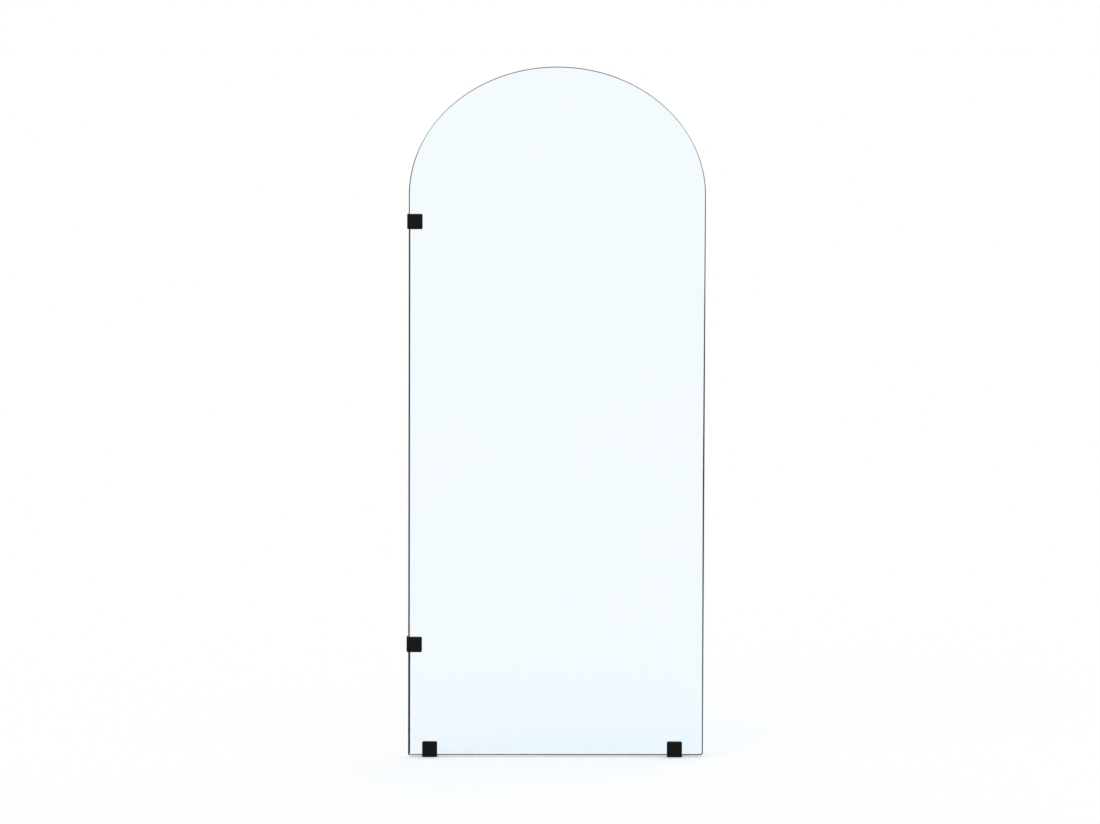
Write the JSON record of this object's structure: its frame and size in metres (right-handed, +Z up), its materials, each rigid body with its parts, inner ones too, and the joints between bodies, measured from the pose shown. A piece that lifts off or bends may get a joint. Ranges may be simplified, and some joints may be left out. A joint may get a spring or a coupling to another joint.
{
  "type": "walk-in shower screen",
  "caption": "Frameless clear glass shower screen with an arched top, clamped to a wall and a floor by square black brackets.",
  "frame": {"origin": "where the finished wall, the finished floor and the middle plane of the glass meet, at the corner of the screen beside the wall", "axes": "+X from the wall towards the free edge of the glass, +Y through the glass from the front to the rear, where the bracket flanges are, +Z up"},
  "size_m": [0.905, 0.058, 2.105],
  "materials": {
    "clear_glass": "polished",
    "black_casting": "satin",
    "gasket": "matte",
    "edge_pad": "matte",
    "bush": "matte",
    "screw": "satin"
  },
  "bodies": {
    "root": {"glass_panel": "clear_glass", "upper_wall_front_jaw": "black_casting", "upper_wall_bracket_body": "black_casting", "upper_wall_front_gasket": "gasket", "upper_wall_rear_gasket": "gasket", "upper_wall_edge_pad": "edge_pad", "upper_wall_hole_bush": "bush", "upper_wall_clamp_screw": "screw", "lower_wall_front_jaw": "black_casting", "lower_wall_bracket_body": "black_casting", "lower_wall_front_gasket": "gasket", "lower_wall_rear_gasket": "gasket", "lower_wall_edge_pad": "edge_pad", "lower_wall_hole_bush": "bush", "lower_wall_clamp_screw": "screw", "wall_side_floor_front_jaw": "black_casting", "wall_side_floor_bracket_body": "black_casting", "wall_side_floor_front_gasket": "gasket", "wall_side_floor_rear_gasket": "gasket", "wall_side_floor_edge_pad": "edge_pad", "wall_side_floor_hole_bush": "bush", "wall_side_floor_clamp_screw": "screw", "free_side_floor_front_jaw": "black_casting", "free_side_floor_bracket_body": "black_casting", "free_side_floor_front_gasket": "gasket", "free_side_floor_rear_gasket": "gasket", "free_side_floor_edge_pad": "edge_pad", "free_side_floor_hole_bush": "bush", "free_side_floor_clamp_screw": "screw"}
  },
  "joints": []
}
